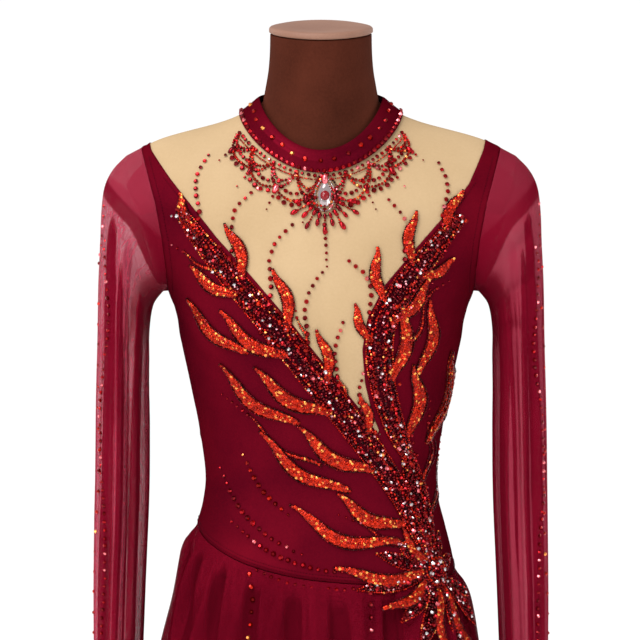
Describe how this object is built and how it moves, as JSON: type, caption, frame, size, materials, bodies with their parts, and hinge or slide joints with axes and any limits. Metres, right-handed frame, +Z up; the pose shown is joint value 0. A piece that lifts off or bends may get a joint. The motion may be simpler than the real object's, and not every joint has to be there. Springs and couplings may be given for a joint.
{
  "type": "lyrical dance dress on a limbless dress form",
  "caption": "Long-sleeved lyrical dance dress with a nude yoke, asymmetric neckline, beaded leaf sprays and gathered skirt, worn by a limbless dress form on a stand.",
  "frame": {"origin": "centre of the stand's underside, on the floor", "axes": "+Z up, the front of the dress faces -Y, the wearer's left is +X"},
  "size_m": [0.5491, 0.4614, 1.512],
  "materials": {
    "wine_stretch": "opaque stretch jersey in deep wine, softly shining",
    "wine_net": "sheer fine stretch net in wine",
    "wine_lining": "opaque matt underskirt in deep wine",
    "nude_net": "fine power net in nude",
    "form_cloth": "matt brown jersey drawn smooth over the form",
    "form_lid": "brown neck lid, matt with a paler worn edge",
    "stand_metal": "black powder coat",
    "red_beads": "sequins, faceted beads and stones in orange red and garnet",
    "crystal": "clear and silver-backed crystal"
  },
  "bodies": {
    "root": {"stand_base": "stand_metal", "stand_pole": "stand_metal", "form_torso": "form_cloth", "form_neck_lid": "form_lid", "bodice_front": "wine_stretch", "bodice_back": "wine_stretch", "yoke_front": "nude_net", "yoke_back_left": "nude_net", "yoke_back_right": "nude_net", "collar": "wine_stretch", "collar_button": "wine_stretch", "sleeve_left": "wine_net", "sleeve_right": "wine_net", "skirt_outer": "wine_net", "skirt_under": "wine_lining", "applique_right": "red_beads", "applique_left": "red_beads", "applique_hip": "red_beads", "collar_pendant": "crystal"}
  },
  "joints": []
}
